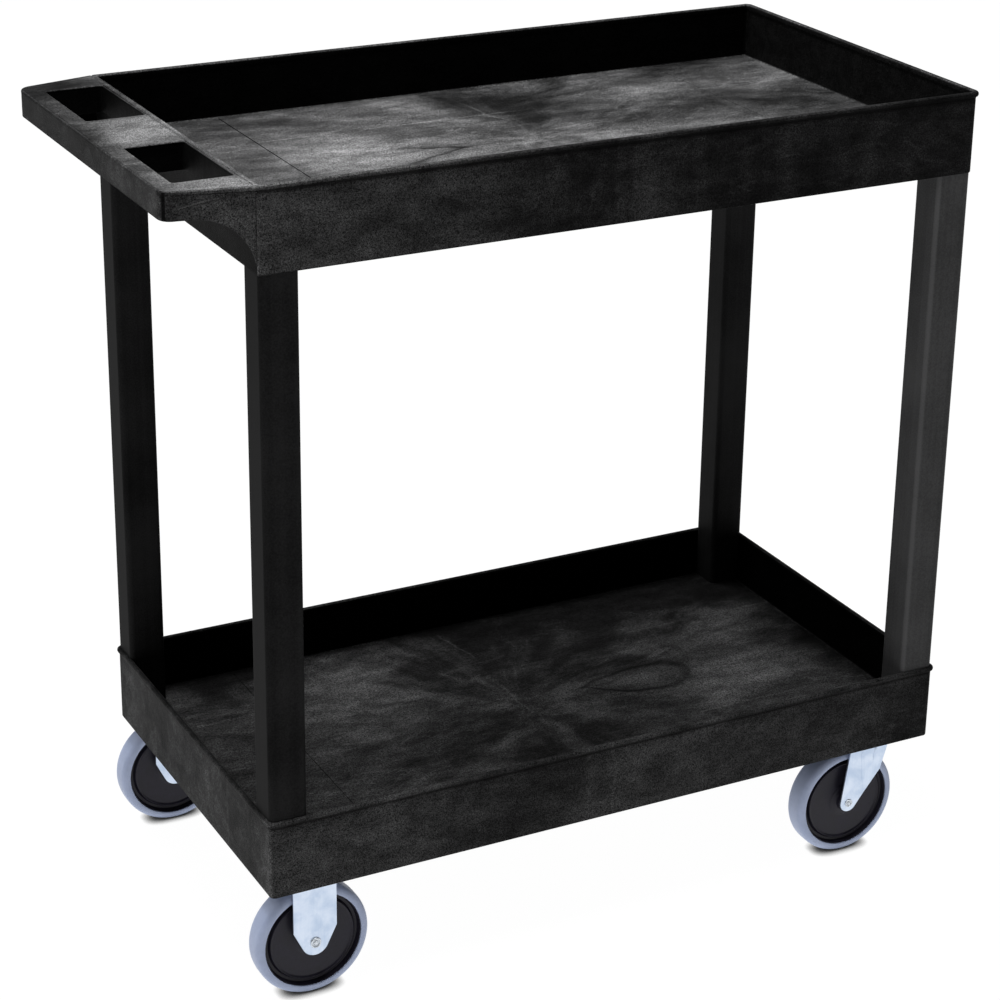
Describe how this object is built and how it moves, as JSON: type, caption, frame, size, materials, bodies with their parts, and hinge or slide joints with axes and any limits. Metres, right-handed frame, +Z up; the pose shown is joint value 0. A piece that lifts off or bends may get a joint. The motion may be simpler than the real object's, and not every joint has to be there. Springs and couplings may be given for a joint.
{
  "type": "rolling utility cart",
  "caption": "Two-shelf moulded plastic utility cart with tub shelves, square tube legs, a push handle moulded into the top shelf, and rigid and swivel plate casters.",
  "frame": {"origin": "on the ground under the middle of the whole cart", "axes": "+X along the cart away from the push handle, +Y across it, +Z up; the wheels stand on Z = 0"},
  "size_m": [0.8996, 0.4524, 0.884],
  "materials": {
    "shelf_plastic": "fine moulded grain with cloudy flow marks",
    "leg_plastic": "satin",
    "wheel_plastic": "satin",
    "tread_rubber": "smooth",
    "plated_steel": "bright zinc plate",
    "fastener_steel": "bright zinc plate",
    "bearing_steel": "ground"
  },
  "bodies": {
    "frame": {"upper_shelf": "shelf_plastic", "lower_shelf": "shelf_plastic", "leg_handle_front": "leg_plastic", "leg_handle_back": "leg_plastic", "leg_end_front": "leg_plastic", "leg_end_back": "leg_plastic", "rigid_fork_front": "plated_steel", "rigid_axle_front": "fastener_steel", "rigid_nut_front": "fastener_steel", "rigid_sleeve_front": "bearing_steel", "rigid_screws_front": "fastener_steel", "swivel_plate_front": "plated_steel", "swivel_kingpin_front": "bearing_steel", "swivel_screws_front": "fastener_steel", "rigid_fork_back": "plated_steel", "rigid_axle_back": "fastener_steel", "rigid_nut_back": "fastener_steel", "rigid_sleeve_back": "bearing_steel", "rigid_screws_back": "fastener_steel", "swivel_plate_back": "plated_steel", "swivel_kingpin_back": "bearing_steel", "swivel_screws_back": "fastener_steel"},
    "rigid_wheel_front": {"rigid_wheel_front": "wheel_plastic", "rigid_tread_front": "tread_rubber"},
    "swivel_front": {"swivel_fork_front": "plated_steel", "swivel_balls_front": "bearing_steel", "swivel_axle_front": "fastener_steel", "swivel_nut_front": "fastener_steel", "swivel_sleeve_front": "bearing_steel"},
    "swivel_wheel_front": {"swivel_wheel_front": "wheel_plastic", "swivel_tread_front": "tread_rubber"},
    "rigid_wheel_back": {"rigid_wheel_back": "wheel_plastic", "rigid_tread_back": "tread_rubber"},
    "swivel_back": {"swivel_fork_back": "plated_steel", "swivel_balls_back": "bearing_steel", "swivel_axle_back": "fastener_steel", "swivel_nut_back": "fastener_steel", "swivel_sleeve_back": "bearing_steel"},
    "swivel_wheel_back": {"swivel_wheel_back": "wheel_plastic", "swivel_tread_back": "tread_rubber"}
  },
  "joints": [
    {"name": "rigid_wheel_front_spin", "type": "hinge", "parent": "frame", "child": "rigid_wheel_front", "pos_m": [-0.31285, -0.2, 0.0635], "axis": [0, 1, 0], "continuous": true},
    {"name": "swivel_front_turn", "type": "hinge", "parent": "frame", "child": "swivel_front", "pos_m": [0.37515, -0.2, 0.13], "axis": [0, 0, 1], "continuous": true},
    {"name": "swivel_wheel_front_spin", "type": "hinge", "parent": "swivel_front", "child": "swivel_wheel_front", "pos_m": [0.34715, -0.2, 0.0635], "axis": [0, 1, 0], "continuous": true},
    {"name": "rigid_wheel_back_spin", "type": "hinge", "parent": "frame", "child": "rigid_wheel_back", "pos_m": [-0.31285, 0.2, 0.0635], "axis": [0, 1, 0], "continuous": true},
    {"name": "swivel_back_turn", "type": "hinge", "parent": "frame", "child": "swivel_back", "pos_m": [0.37515, 0.2, 0.13], "axis": [0, 0, 1], "continuous": true},
    {"name": "swivel_wheel_back_spin", "type": "hinge", "parent": "swivel_back", "child": "swivel_wheel_back", "pos_m": [0.34715, 0.2, 0.0635], "axis": [0, 1, 0], "continuous": true}
  ]
}
